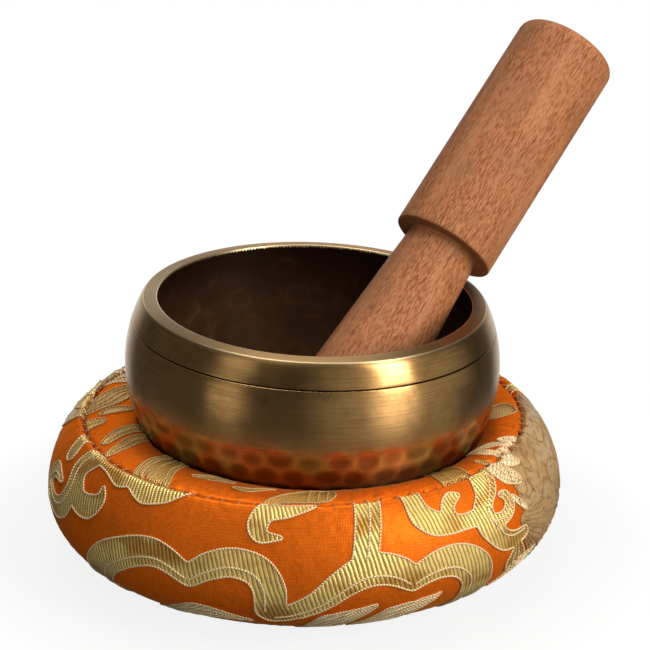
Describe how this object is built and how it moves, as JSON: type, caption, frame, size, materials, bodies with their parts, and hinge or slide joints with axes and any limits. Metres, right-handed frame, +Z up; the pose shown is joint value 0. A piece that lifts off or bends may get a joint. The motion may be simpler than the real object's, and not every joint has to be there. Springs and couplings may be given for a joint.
{
  "type": "singing bowl",
  "caption": "Small metal singing bowl with a flat lip and hammered lower body, resting on a round stuffed brocade cushion, with a turned wooden striker leaning in it.",
  "frame": {"origin": "centre of the cushion's underside, on the surface that the set stands on", "axes": "+Z up; the bowl leans a little towards +X and the striker points towards +X and +Y"},
  "size_m": [0.1221, 0.1104, 0.1072],
  "materials": {
    "bowl_metal": "antique bronze, brushed above and hammered below",
    "striker_wood": "oiled reddish hardwood with fine open pores",
    "brocade": "orange satin brocade with woven gold scrolls",
    "base_cloth": "plain orange satin",
    "stuffing": "loose cotton fill",
    "thread": "twisted sewing thread"
  },
  "bodies": {
    "cushion": {"cushion_top": "brocade", "cushion_band": "brocade", "cushion_base": "base_cloth", "cushion_filling": "stuffing", "top_seam_thread": "thread", "base_seam_thread": "thread"},
    "bowl": {"bowl": "bowl_metal"},
    "striker": {"striker": "striker_wood"}
  },
  "joints": [
    {"name": "bowl_lift", "type": "slide", "parent": "cushion", "child": "bowl", "axis": [0, 0, 1], "range_m": [0, 0.08]},
    {"name": "striker_lift", "type": "slide", "parent": "bowl", "child": "striker", "axis": [0.4759, 0.4831, 0.735], "range_m": [0, 0.1]}
  ]
}
